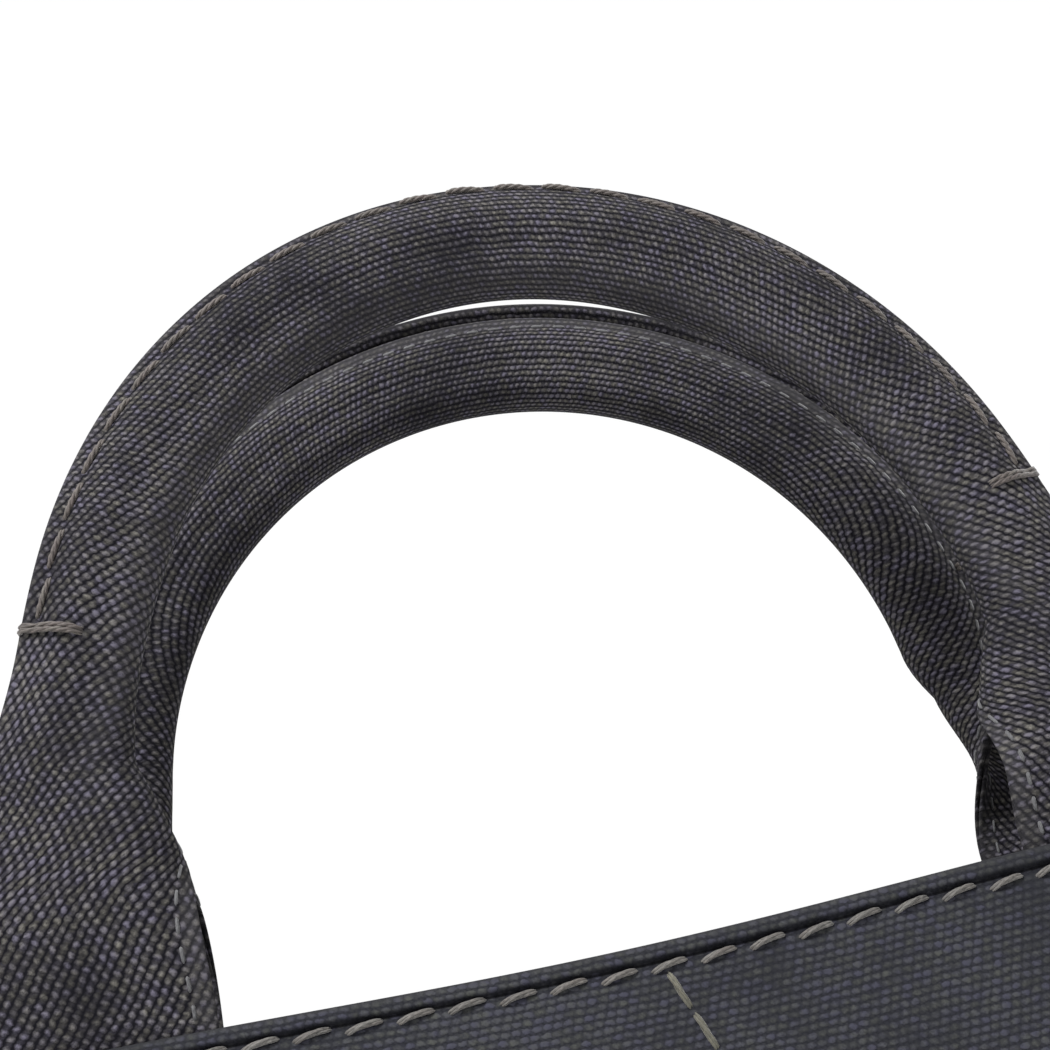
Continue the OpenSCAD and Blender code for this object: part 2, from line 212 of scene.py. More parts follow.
def canvas_material(name, across, along, tilt, length, width, gap, olive, violet, fuzz,
                    relief, softness):
    """Plain-weave canvas: pale warm and violet crowns over nearly black gaps, faded in patches,
    and fuzzy where the cloth is rubbed or rolled. Where the mesh's mark of wear and painted shade
    is below zero, painted shade darkens the crowns and turns the gaps towards black, in grooves."""
    material, shade = new_material(name, {"Specular IOR Level": 0.06})
    uv = shade.put("ShaderNodeUVMap", uv_map="cloth")
    place = shade.put("ShaderNodeTexCoord", out="Object")
    wear_and_shade = shade.put("ShaderNodeAttribute", out="Fac", attribute_name="wear_and_shade")
    flat = shade.put("ShaderNodeVectorMath", {0: uv, 1: (1000, 1000, 0)}, operation="MULTIPLY")
    drift = shade.put("ShaderNodeTexNoise", {"Vector": flat, "Scale": 0.26, "Detail": 2.0},
                      out="Color")
    shaken = shade.put("ShaderNodeVectorMath", {0: drift, 1: (0.95, 0.95, 0), 2: flat},
                       operation="MULTIPLY_ADD")
    ragged = shade.put("ShaderNodeTexNoise", {"Vector": flat, "Scale": 1.1, "Detail": 1.0},
                       out="Color")
    shaken = shade.put("ShaderNodeVectorMath", {0: ragged, 1: (0.55, 0.55, 0), 2: shaken},
                       operation="MULTIPLY_ADD")
    x = shade.put("ShaderNodeSeparateXYZ", {0: shaken}, out=0)
    y = shade.put("ShaderNodeSeparateXYZ", {0: shaken}, out=1)
    turn = shade.put("ShaderNodeAttribute", out="Fac", attribute_name="turn")
    crown, between, number = weave((x, y), across, along, tilt + turn * -1.68, length, width)
    fibre = shade.put("ShaderNodeTexNoise", {"Vector": flat, "Scale": 1.7, "Detail": 4.0,
                                             "Roughness": 0.85})
    patch = shade.put("ShaderNodeTexNoise", {"Vector": place, "Scale": 34.0, "Detail": 3.0,
                                             "Roughness": 0.6})
    hue = shade.put("ShaderNodeTexNoise", {"Vector": flat, "Scale": 0.37, "Detail": 1.0})
    tint = (hue * 2.4 + number * 0.9 - 1.15).clamped()
    lit = crown.math("POWER", crown, softness)
    # Painted shade: below zero, the mark of wear and shade darkens the crowns and, through the
    # near-black colour, the gaps; it lies in the grooves by the heavy hem stitches and the
    # straps' edge seams.
    painted_shade_factor = (wear_and_shade + 1.0).clamped()
    lit = lit.math("MAXIMUM", lit * (number * 0.8 + 0.5), between * 0.26)
    bright = lit * (patch * 2.6 - 0.35) * (fibre * 4.4 - 1.2) * painted_shade_factor
    woven = bright.clamped().blend(painted_shade_factor.blend(colour(0.002, 0.002, 0.003), gap),
                                   tint.blend(olive, violet))
    rubbed = (wear_and_shade * (fibre * 1.6 + 0.1)).clamped()
    height = lit * (1 - rubbed * 0.6) + fibre * 0.5
    normal = shade.put("ShaderNodeBump", {"Strength": 1.0, "Distance": relief,
                                          "Height": height})
    return painted(material, rubbed.blend(woven, fuzz), 0.95 - lit * 0.2, normal)


def lofted(name, rings, cloth, material, wear_and_shade=None, turn=None, caps="strip"):
    """Object through lofts of rings of points, given as lofts by rings by points: faces with
    four corners join ring to ring. Each end is closed by a strip between the ring's two
    sides, or by one face. cloth is each point's place in the flat cloth, in millimetres."""
    lofts, count, around, _ = rings.shape
    index = np.arange(lofts * count * around).reshape(lofts, count, around)
    a, b = index[:, :-1], index[:, 1:]
    quads = np.stack([a, np.roll(a, -1, 2), np.roll(b, -1, 2), b], -1).reshape(-1, 4)
    discs = []
    if caps == "strip":
        j = np.arange(around // 2 - 1)
        for ring, way in ((index[:, 0], 1), (index[:, -1], -1)):
            strip = np.stack([ring[:, j], ring[:, around - 1 - j], ring[:, around - 2 - j],
                              ring[:, j + 1]], -1).reshape(-1, 4)
            quads = np.concatenate([quads, strip[:, ::way]])
    else:
        discs = np.concatenate([index[:, 0, ::-1], index[:, -1]])
    points = rings.reshape(-1, 3) / 1000
    corner = points[quads]
    volume = np.einsum("ij,ij->", corner[:, 0], np.cross(corner[:, 1], corner[:, 2]))
    volume += np.einsum("ij,ij->", corner[:, 0], np.cross(corner[:, 2], corner[:, 3]))
    way = 1 if volume > 0 else -1
    faces = quads[:, ::way].tolist() + [face[::way].tolist() for face in discs]
    mesh = bpy.data.meshes.new(name)
    mesh.from_pydata(points.tolist(), [], faces)
    loop = np.zeros(len(mesh.loops), np.int32)
    mesh.loops.foreach_get("vertex_index", loop)
    layer = mesh.uv_layers.new(name="cloth")
    flat = np.broadcast_to(cloth, rings.shape[:3] + (2,)).reshape(-1, 2) / 1000
    layer.data.foreach_set("uv", flat[loop].astype(np.float32).ravel())
    for label, value in (("wear_and_shade", wear_and_shade), ("turn", turn)):
        if value is not None:
            mark = mesh.attributes.new(label, "FLOAT", "POINT")
            values = np.broadcast_to(value, rings.shape[:3]).astype(np.float32)
            mark.data.foreach_set("value", values.ravel())
    mesh.polygons.foreach_set("use_smooth", np.ones(len(mesh.polygons), bool))
    mesh.update()
    mesh.materials.append(material)
    made = bpy.data.objects.new(name, mesh)
    bpy.context.scene.collection.objects.link(made)
    return made


def both_sides(outer, inner):
    """A closed ring from the points of a cloth's outer side and those of its inner side."""
    return np.concatenate([outer, inner[..., ::-1]], -1)


def crowded(count, pull):
    """Places from -1 to 1 that lie closer together towards both ends: the sines of even
    angles up to the pull, over the last one."""
    return np.sin(np.linspace(-1, 1, count) * pull) / math.sin(pull)


def seam_line(wall, z):
    """Distance along a wall from its middle to its corner seam."""
    return (BAG_W / 2 if wall in WIDE else half_depth(z)) - CORNER * (1 - math.pi / 4)


def wall_cloth(name, wall, z, outer, inner, material, columns, wear_and_shade=0.0, seam=0.0):
    """A sheet of cloth on a wall: z, outer and inner are rows of heights and depths. seam is
    how deep the outer side dips in its last 3 mm before the corner seams."""
    ring_z = both_sides(z, z)[None, :]
    s = crowded(columns, 0.43 * math.pi)[:, None] * seam_line(wall, ring_z)
    from_seam = seam_line(wall, ring_z) - np.abs(s)
    t = both_sides(outer, inner)[None, :] + 0 * s
    half = len(z)
    t[:, :half] += seam * (1 - eased(from_seam[:, :half] / 3)) * (1 - t[:, :half] / 3)
    rings = wall_point(wall, s, ring_z + 0 * s, t)
    flat = np.stack([s + 0.27 * ring_z, ring_z + 0 * s], -1)
    # The marks: the given wear and painted shade, with fuzz added by the corner seams.
    cloth_marks = wear_and_shade + 0.35 * seam * (1 - eased(from_seam / 2.5))
    return lofted(name, rings[None], flat[None], material, cloth_marks[None])


canvas = canvas_material(
    "charcoal_canvas", across=2.0, along=3.1, tilt=0.10, length=1.08, width=0.66,
    gap=colour(0.0092, 0.0095, 0.0120), olive=colour(0.034, 0.035, 0.033),
    violet=colour(0.0265, 0.0265, 0.037), fuzz=colour(0.022, 0.022, 0.023),
    relief=0.00018, softness=0.8)
# Heavy stitches draw a groove below the hem's roll: rows of points lie close together there.
hem_z = BAG_H - HEM_ROUND * (1 - np.sin(np.linspace(0, math.pi / 2, 8)))
panel_z = np.concatenate([np.linspace(0.1, FOOT_ROUND, 8)[:-1],
                          np.linspace(FOOT_ROUND, BAG_H - 12, 92)[:-1],
                          np.linspace(BAG_H - 12, BAG_H - HEM_ROUND, 30)[:-1], hem_z])
from_top = BAG_H - panel_z
roll = CANVAS - np.sqrt(np.maximum(0, CANVAS ** 2 - np.maximum(0, CANVAS - from_top) ** 2))
panel_out = (roll * 0.97 - 0.4 * bell(from_top, 2.1, 1.1) + 1.0 * bell(from_top, 3.8, 0.55)
             + 0.35 * bell(from_top, 5.2, 1.4))
# Wear on the hem's fold and at the foot; the negative bell 3.85 mm below the top is painted
# shade, a dark line in the groove above the heavy stitches.
panel_wear_and_shade = both_sides(0.5 * bell(from_top, 0, 1.0) + 0.25 * bell(panel_z, 0, 4.0)
                        - 0.9 * bell(from_top, 3.85, 0.6),
                        0 * panel_z)[None, :]
for wall in WALLS:
    wide = wall in WIDE
    node = f"{wall}_panel" if wide else f"{wall}_gusset"
    piece = wall_cloth(f"{node}_cloth", wall, panel_z, panel_out, CANVAS + 0 * panel_z,
                       canvas, 190 if wide else 60, panel_wear_and_shade, seam=1.1)
    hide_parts(node)
    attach(piece, "bag")

# ---- Base ----
# A canvas base panel under a stiff pressed board, which the lining of the floor covers. The
# board is hidden and keeps its cut shape.


def floor_cloth(name, low, high, inset, corner, material):
    """A sheet across the floor: a rectangle with round corners, as far inside the walls as
    inset, low and high the heights of its two faces, the upper one slightly uneven."""
    x = crowded(90, math.pi / 2)[:, None] * (BAG_W / 2 - inset)
    past = np.maximum(0, np.abs(x) - (BAG_W / 2 - inset - corner))
    y_half = BASE_D / 2 - inset - corner + np.sqrt(np.maximum(0.01, corner ** 2 - past ** 2))
    v = crowded(40, math.pi / 2)[None, :]
    y = y_half * both_sides(v, v)
    wave = 0.12 * (np.sin(x / 17 + y / 23) + np.sin(y / 9 - x / 31))
    z = both_sides(high + 0 * v, low + 0 * v) + wave * both_sides(1 + 0 * v, 0 * v)
    rings = np.stack(np.broadcast_arrays(x, y, z), -1)
    return lofted(name, rings[None], rings[None][..., :2], material, np.zeros((1, 1, 1)))


base = floor_cloth("base_panel_cloth", 0.05, 1.3, 4.2, 7.0, canvas)
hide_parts("base_panel")
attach(base, "bag")

pressed, shade = new_material("pressed_board", {"Specular IOR Level": 0.3})
place = shade.put("ShaderNodeTexCoord", out="Object")
grain = shade.put("ShaderNodeTexNoise", {"Vector": place, "Scale": 420.0, "Detail": 5.0})
cloud = shade.put("ShaderNodeTexNoise", {"Vector": place, "Scale": 30.0, "Detail": 2.0})
board_paint = (grain * 0.7 + cloud * 0.3).blend(colour(0.09, 0.07, 0.045),
                                                colour(0.22, 0.18, 0.12))
board_bump = shade.put("ShaderNodeBump", {"Strength": 0.5, "Distance": 0.0002,
                                          "Height": grain})
painted(pressed, board_paint, 0.75 + grain * 0.2, board_bump)
board_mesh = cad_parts["base_board"].data
board_mesh.materials.clear()
board_mesh.materials.append(pressed)

# ---- Lining ----
# Plain dark grey cotton on the four walls, from the floor up to the facings, and over the
# board. It is sewn into the corner seams and lies against the canvas.
lining_cotton = canvas_material(
    "grey_cotton", across=0.9, along=0.9, tilt=0.0, length=0.40, width=0.34,
    gap=colour(0.02, 0.02, 0.024), olive=colour(0.075, 0.075, 0.075),
    violet=colour(0.065, 0.065, 0.08), fuzz=colour(0.08, 0.08, 0.08),
    relief=0.00010, softness=0.7)
LINING, FLOOR, LINING_TOP = 0.8, 5.3, BAG_H - 43
lining_z = np.linspace(FLOOR, LINING_TOP, 84)
for wall in WALLS:
    wide = wall in WIDE
    crease = 0.18 * np.sin(lining_z / 5.5) * np.sin(lining_z / 31)
    piece = wall_cloth(f"{wall}_lining_cloth", wall, lining_z,
                       CANVAS + 0.05 + 0 * lining_z, CANVAS + LINING + crease, lining_cotton,
                       120 if wide else 50)
    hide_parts(f"{wall}_lining")
    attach(piece, "bag")
base_cotton = floor_cloth("base_lining_cloth", 4.62, 5.5, 2.6, 8.0, lining_cotton)
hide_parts("base_lining")
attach(base_cotton, "bag")

# ---- Hem facings ----
# The hem is faced inside with the same canvas, 46 mm deep, folded over at the mouth and
# turned under along its lower edge, where a machine seam holds it to the lining.
FACING_H = 46.0
facing_z = np.concatenate([BAG_H - FACING_H + np.linspace(0, 1.5, 6)[:-1],
                           np.linspace(BAG_H - FACING_H + 1.5, BAG_H - HEM_ROUND, 40)[:-1],
                           hem_z])
from_top = BAG_H - facing_z
from_low = facing_z - (BAG_H - FACING_H)
thick = (np.sqrt(np.clip(1 - np.maximum(0, 1 - from_top / CANVAS) ** 2, 0.001, 1))
         * np.sqrt(np.clip(1 - np.maximum(0, 1 - from_low / 1.2) ** 2, 0.04, 1)))
facing_wear = both_sides(0 * facing_z, 0.5 * bell(from_top, 0, 1.0)
                         + 0.3 * bell(from_low, 0, 1.0))[None, :]
for wall in WALLS:
    wide = wall in WIDE
    piece = wall_cloth(f"{wall}_facing_cloth", wall, facing_z,
                       CANVAS + 0.02 + 0 * facing_z, CANVAS + 0.02 + 1.46 * thick, canvas,
                       130 if wide else 40, facing_wear)
    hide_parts(f"{wall}_facing")
    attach(piece, "bag")

# ---- Heavy hem stitching ----
# One row of thick waxed three-strand thread runs round the mouth under the hem's roll. Each
# stitch leans: it comes out low at one end and lies up against the roll.


def thread_material(name, dark, pale, warm):
    """Waxed thread: fibres along the strands, each stitch a little paler or browner, with a
    slight sheen."""
    material, shade = new_material(name, {
        "Specular IOR Level": 0.35, "Sheen Weight": 0.15, "Sheen Roughness": 0.4})
    uv = shade.put("ShaderNodeUVMap", uv_map="cloth")
    flat = shade.put("ShaderNodeVectorMath", {0: uv, 1: (900, 3600, 0)}, operation="MULTIPLY")
    slow = shade.put("ShaderNodeVectorMath", {0: uv, 1: (41, 7, 0)}, operation="MULTIPLY")
    fibre = shade.put("ShaderNodeTexNoise", {"Vector": flat, "Scale": 1.3, "Detail": 3.0})
    each = shade.put("ShaderNodeTexNoise", {"Vector": slow, "Scale": 1.0, "Detail": 1.0})
    place = shade.put("ShaderNodeTexCoord", out="Object")
    soil = shade.put("ShaderNodeTexNoise", {"Vector": place, "Scale": 60.0, "Detail": 2.0})
    stitch = (each * 2.2 - 0.6).clamped().blend(warm, pale)
    paint = (fibre * 2.6 + soil * 0.9 - 1.15).clamped().blend(dark, stitch)
    normal = shade.put("ShaderNodeBump", {"Strength": 0.8, "Distance": 0.00012,
                                          "Height": fibre})
    return painted(material, paint, 0.8 - fibre * 0.25, normal)


def twisted(name, path, out, radius, material, strands=3, turns=1.5, sides=6):
    """Threads along centre lines, given as threads by points: strands wind round each line
    at nearly half the radius, and their ends are drawn in. out points away from the cloth."""
    count, steps, _ = path.shape
    along = np.gradient(path, axis=1)
    along /= np.linalg.norm(along, axis=-1, keepdims=True)
    side = np.cross(along, out)
    side /= np.linalg.norm(side, axis=-1, keepdims=True)
    up = np.cross(side, along)
    share = np.linspace(0, 1, steps)
    strand = radius * (0.58 if strands > 1 else 1.0)
    taper = strand * np.sqrt(np.clip(1 - np.abs(2 * share - 1) ** 5, 0.06, 1))
    phase = 2 * math.pi * (turns * share + np.arange(strands)[:, None] / strands)
    wind = (radius - strand) * np.stack([np.cos(phase), np.sin(phase)], -1)
    centre = (path[:, None] + wind[None, ..., :1] * side[:, None]
              + wind[None, ..., 1:] * up[:, None])
    angle = 2 * math.pi * np.arange(sides) / sides
    spoke = (np.cos(angle)[:, None] * side[:, None, :, None]
             + np.sin(angle)[:, None] * up[:, None, :, None])
    rings = centre[..., None, :] + taper[:, None, None] * spoke
    rings = rings.reshape(count * strands, steps, sides, 3)
    length = np.linalg.norm(np.diff(path, axis=1), axis=-1).sum(1).mean()
    u = share * length
    first = np.arange(count * strands) * 37.0
    flat = np.stack(np.broadcast_arrays(first[:, None, None] + u[:, None],
                                        angle * strand), -1)
    return lofted(name, rings, flat, material, caps="disc")


def outward(point, *place, depth=0.3):
    """Direction away from the cloth: from a point to the one a little further out."""
    d = point(*place[:-1], place[-1] - depth) - point(*place)
    return d / np.linalg.norm(d, axis=-1, keepdims=True)


THREAD, STITCH, PITCH, HEM_DROP = 1.3, 7.4, 9.6, 4.9
waxed_thread = thread_material("waxed_thread", colour(0.012, 0.0115, 0.011),
                               colour(0.105, 0.102, 0.094), colour(0.068, 0.057, 0.051))


def rows_of(count, pitch, length, steps):
    """Places along a row of stitches: start of each, centred as a row, and steps along it."""
    start = -(count * pitch - (pitch - length)) / 2 + pitch * np.arange(count)
    share = np.linspace(0, 1, steps)
    return start[:, None] + length * share[None, :], share[None, :] + 0 * start[:, None]


noise = np.random.default_rng(7)
for wall in WALLS:
    wide = wall in WIDE
    run = BAG_W - PITCH if wide else 2 * (MOUTH_D / 2 - CANVAS) - 2 * PITCH
    s, share = rows_of(int(run / PITCH), PITCH, STITCH, 13)
    if wall in ("back", "left"):
        share = share[:, ::-1]
    shift = noise.normal(0, 0.18, (len(s), 1))
    z = BAG_H - HEM_DROP - 0.75 + 1.35 * np.sin(math.pi / 2 * np.clip(share * 1.3, 0, 1)) + shift
    t = 1.15 - 1.5 * np.sin(math.pi * share) ** 0.45 + 0.1 * shift
    place = (wall, s, z, t)
    out = outward(wall_point, *place)
    row = twisted(f"{wall}_hem_threads", wall_point(*place), out, THREAD / 2 * 0.98,
                  waxed_thread, turns=0.55)
    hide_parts(f"{wall}_hem_stitching")
    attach(row, "bag")

# ---- Machine seam along the facings' lower edges ----
# Fine dark thread, 3 mm from the turned edge, through facing and lining.
fine_thread = thread_material("fine_thread", colour(0.02, 0.02, 0.022),
                              colour(0.085, 0.085, 0.088), colour(0.06, 0.06, 0.063))


SEAM_PITCH, SEAM_STITCH, SEAM_R = 3.6, 2.7, 0.28


def machine_row(length):
    """Places along a row of machine stitches, and steps along each, for a seam's length."""
    return rows_of(int(length / SEAM_PITCH), SEAM_PITCH, SEAM_STITCH, 6)


def seam_stitches(name, path, out, radius, body=None):
    """A row of machine stitches, one plain strand each, that rides on the body if given."""
    row = twisted(name, path, out, radius, fine_thread, strands=1, sides=5)
    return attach(row, body) if body else row


for wall in WALLS:
    s, share = machine_row(2 * seam_line(wall, LINING_TOP) - 8)
    t = 2 * CANVAS - 0.35 + 0.55 * np.sin(math.pi * share) ** 0.5
    place = (wall, s, BAG_H - FACING_H + 3 + 0 * s, t)
    seam_stitches(f"{wall}_facing_seam", wall_point(*place),
                  -outward(wall_point, *place), SEAM_R, "bag")

# ---- Tool pocket ----
# A canvas pocket hung on the inside of the front wall, pleated at its sides so that it
# stands off for tools, with a bound mouth; a stitched line divides it in two.
POCKET_W, POCKET_H, POCKET_DROP, EASE, DIVIDER = 270.0, 130.0, 66.0, 9.0, 10.0
POCKET_T = CANVAS + LINING + 0.25
COMPARTMENTS = ((-POCKET_W / 2, DIVIDER), (DIVIDER, POCKET_W / 2))


def pocket_off(x0, x1, s, w):
    """How far the pocket's cloth stands off the wall: nothing at its sewn edges, then a
    pleat on each side up to the ease, a little slack at the mouth and closed at the foot.
    w goes from 0 at the foot to 1 at the mouth."""
    side = eased((s - x0 - 4.5) / 7) * eased((x1 - 4.5 - s) / 7)
    foot = np.sqrt(1 - (1 - np.clip(w * POCKET_H / 7, 0, 1)) ** 2)
    slack = 1.6 * w ** 3 * np.sin(math.pi * (s - x0) / (x1 - x0)) ** 2
    folds = 0.5 * np.sin(s / 11 + 4 * w) * w * side
    return side * foot * (EASE - 0.8 + folds) + slack * side


def pocket_rings(x0, x1, w, outer, inner, columns):
    """Rings of the pocket's cloth from x0 to x1 across and w up, outer and inner its faces'
    depths from the standing-off surface, counted inwards."""
    s = (x0 + x1) / 2 + crowded(columns, 1.45) * (x1 - x0) / 2
    ring_w = both_sides(w, w)[None, :]
    s = s[:, None] + 0 * ring_w
    t = POCKET_T + pocket_off(x0, x1, s, ring_w) + both_sides(outer, inner)[None, :]
    z = BAG_H - POCKET_DROP - POCKET_H + POCKET_H * ring_w + 0 * s
    return wall_point("front", s, z, t), np.stack([s, z], -1)


pocket_w = np.concatenate([np.linspace(0, 0.06, 14)[:-1], np.linspace(0.06, 0.985, 60)[:-1],
                           np.linspace(0.985, 1, 5)])
made = [pocket_rings(x0, x1, pocket_w, 0 * pocket_w, CANVAS * 0.95 + 0 * pocket_w, 90)
        for x0, x1 in COMPARTMENTS]
cloth_marks = 0.3 * bell(both_sides(pocket_w, pocket_w), 0, 0.01)[None, None, :]
pocket = lofted("tool_pocket_cloth", np.stack([m[0] for m in made]),
                np.stack([m[1] for m in made]), canvas, cloth_marks)
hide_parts("tool_pocket")
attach(pocket, "bag")
BIND_W, BIND_SEAM = 9.0, 6.6
bind_foot = 1 - BIND_W / POCKET_H
bind_w = np.concatenate([bind_foot + np.linspace(0, 0.004, 4)[:-1],
                         np.linspace(bind_foot + 0.004, 0.996, 14)[:-1],
                         1.0 + 0.010 * np.sin(np.linspace(-0.4, math.pi / 2, 7))])
over = bind_w > 1.0
bind_out = np.where(over, CANVAS * 0.5, CANVAS)
bind_in = CANVAS + LINING * np.where(over, np.sqrt(np.clip(
    1 - ((bind_w - 1) / 0.0101) ** 2, 0.02, 1)), 1.0)
made = [pocket_rings(x0, x1, bind_w, bind_out, bind_in, 90) for x0, x1 in COMPARTMENTS]
binding = lofted("pocket_binding_cloth", np.stack([m[0] for m in made]),
                 np.stack([m[1] for m in made]), canvas,
                 0.35 * both_sides(over, over)[None, None, :])
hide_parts("pocket_binding")
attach(binding, "bag")
for number, (x0, x1) in enumerate(COMPARTMENTS):
    s, share = machine_row(x1 - x0 - 24)
    s = s + (x0 + x1) / 2
    t = (POCKET_T + pocket_off(x0, x1, s, 1 - BIND_SEAM / POCKET_H + 0 * s) + CANVAS + LINING
         - 0.3 + 0.5 * np.sin(math.pi * share) ** 0.5)
    place = ("front", s, BAG_H - POCKET_DROP - BIND_SEAM + 0 * s, t)
    seam_stitches(f"pocket_binding_seam_{number + 1}", wall_point(*place),
                  -outward(wall_point, *place), SEAM_R, "bag")
    for edge in (x0 + 2.6, x1 - 2.6):
        z, share = machine_row(POCKET_H - 12)
        z = z + BAG_H - POCKET_DROP - POCKET_H / 2 - 3
        t = POCKET_T + CANVAS - 0.3 + 0.5 * np.sin(math.pi * share) ** 0.5
        place = ("front", edge + 0 * z, z, t)
        side = "left" if edge < (x0 + x1) / 2 else "right"
        seam_stitches(f"pocket_{side}_seam_{number + 1}", wall_point(*place),
                      -outward(wall_point, *place), SEAM_R, "bag")

# ---- Divider stitching on the outside of the front panel ----
# The line that divides the pocket comes through to the front as olive thread. It starts
# under the hem, leans over its first two stitches, and lies sunk in the cloth.
olive_thread = thread_material("olive_thread", colour(0.025, 0.025, 0.02),
                               colour(0.090, 0.085, 0.062), colour(0.068, 0.063, 0.044))
rows = int((POCKET_DROP + POCKET_H - 2 * PITCH) / PITCH)
share = np.linspace(0, 1, 11)[None, :]
LINE_X, LINE_DROP, LINE_BEND, LINE_PITCH, LINE_STITCH = 4.2, 6.3, 15.7, 8.6, 7.9
down = np.arange(rows)[:, None] * LINE_PITCH + LINE_STITCH * share
z = BAG_H - LINE_DROP - down
s = LINE_X + np.minimum(down, LINE_BEND) * math.tan(math.radians(19))
place = ("front", s, z, 0.5 - 0.85 * np.sin(math.pi * share) ** 0.4 + 0 * s)
divider = twisted("divider_threads", wall_point(*place), outward(wall_point, *place),
                  THREAD / 2 * 1.05, olive_thread, turns=0.5)
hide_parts("divider_stitching")
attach(divider, "bag")

# ---- Handles: the folded strap ----
# Each handle is one strap of two plies of canvas. It lies flat where it is sewn inside the
# hem, closes into a fold on its way up, and is an arch folded over a soft core, its two
# edges lying outwards with the rear one a little lower.
STRAP_W, FOOT_LEN, PLY, PLY_GAP = 52.0, 38.0, 1.2, 0.05
ARCH_R, ARCH_Z, FOLD_R, EDGE_STEP = 99.0, 50.0, 5.6, 2.6
FOLD_FROM, FOLD_TO, SETBACK, TACK_Z, HALF_GRIP = 6.0, 74.0, 4.0, 76.0, 13.0
edge_space = PLY + 0.1
pinch = math.radians(10)
# The flanks close in until the two edges touch: the angle is solved by repetition.
for _ in range(12):
    pinch = math.asin((FOLD_R * math.cos(pinch) - edge_space)
                      / ((STRAP_W - FOLD_R * (math.pi + 2 * pinch)) / 2))
fold_arc = FOLD_R * (math.pi + 2 * pinch)
bend_shift = EDGE_STEP / 2
grip_reach = (FOLD_R * (1 + math.sin(pinch))
              + ((STRAP_W - fold_arc) / 2 + bend_shift) * math.cos(pinch))
inner_r = ARCH_R - grip_reach / 2
foot_side = FOOT_X - STRAP_W / 2
strap_y = MOUTH_D / 2 - (2 * CANVAS + PLY) / math.cos(math.atan(0.1))
tack_angle = math.asin((TACK_Z - ARCH_Z) / ARCH_R)

# The way of the strap's inner edge: up one leg, over the arch and down the other, with its
# heading, the height its fold has reached and, along the middle, its length.
leg_z = np.linspace(-FOOT_LEN, ARCH_Z, 400)[:-1]
leg_x = foot_side + (inner_r - foot_side) * (np.maximum(leg_z, 0) / ARCH_Z) ** 3
arc = np.linspace(math.pi, 0, 1200)
way_x = np.concatenate([-leg_x, inner_r * np.cos(arc), leg_x[::-1]])
way_z = np.concatenate([leg_z, ARCH_Z + inner_r * np.sin(arc), leg_z[::-1]])
way_turn = np.concatenate([math.pi + 0 * leg_z, arc, 0 * leg_z])
way_high = np.concatenate([leg_z, ARCH_Z + ARCH_R * np.sin(arc), leg_z[::-1]])
middle = np.stack([way_x + HALF_GRIP * np.cos(way_turn),
                   way_z + HALF_GRIP * np.sin(way_turn)], -1)
way = np.concatenate([[0], np.cumsum(np.linalg.norm(np.diff(middle, axis=0), axis=-1))])
STRAP_LEN = float(way[-1])


def flank(v, f):
    """The cloth's middle line across the strap when it is folded by f, 0 to 1: straight in
    from the front edge, round the bend, and straight out again. The bend comes in from the
    rear edge as f grows. Gives x, y, the cloth's heading, and where the bend starts and how
    fast it turns."""
    rate = np.maximum(1e-4, f * (math.pi + 2 * pinch) / fold_arc)
    start = (1 - f) * (STRAP_W / 2 + fold_arc / 2 - bend_shift) + bend_shift - fold_arc / 2
    first = math.pi + pinch * f
    head = first - rate * np.clip(v - start, 0, fold_arc)
    before = np.minimum(v, start) + STRAP_W / 2
    beyond = np.maximum(0, v - start - fold_arc)
    x = before * np.cos(first) + (np.sin(first) - np.sin(head)) / rate + beyond * np.cos(head)
    y = before * np.sin(first) + (np.cos(head) - np.cos(first)) / rate + beyond * np.sin(head)
    return x, y, head, start, rate


def puffed(v, f, start):
    """How far the core fills a flank out: half a wave between the fold and the edge."""
    front = np.clip((v + STRAP_W / 2) / (STRAP_W / 2 + start), 0, 1)
    rear = np.clip((STRAP_W / 2 - v) / (STRAP_W / 2 - start - fold_arc), 0, 1)
    return f ** 2 * (2.7 * np.sin(math.pi * front ** 1.35) + 2.4 * np.sin(math.pi * rear ** 1.35))


SADDLE = 4.2
# How each soft handle hangs off the true arch, in millimetres: shifted and leaning at its
# top, wider, taller and twisted, its legs bowed apart and both the same way, its front edge
# raised by a lip, and the grip's middle dropped.
SOFT = {"front": dict(shift=-1.3, lean=1.0, wide=-1.4, tall=3.7, twist=3.4, bow=2.1,
                      even=-0.4, lip=0.0, drop=1.7),
        "back": dict(shift=0.7, lean=-1.5, wide=-0.8, tall=1.1, twist=0.0, bow=8.4,
                     even=5.6, lip=3.2, drop=0.0)}


def saddle_inset(s):
    """How far the saddle stitches lie from the edge: least at the top of the arch."""
    return SADDLE - 2.9 * bell(s / STRAP_LEN, 0.515, 0.11)


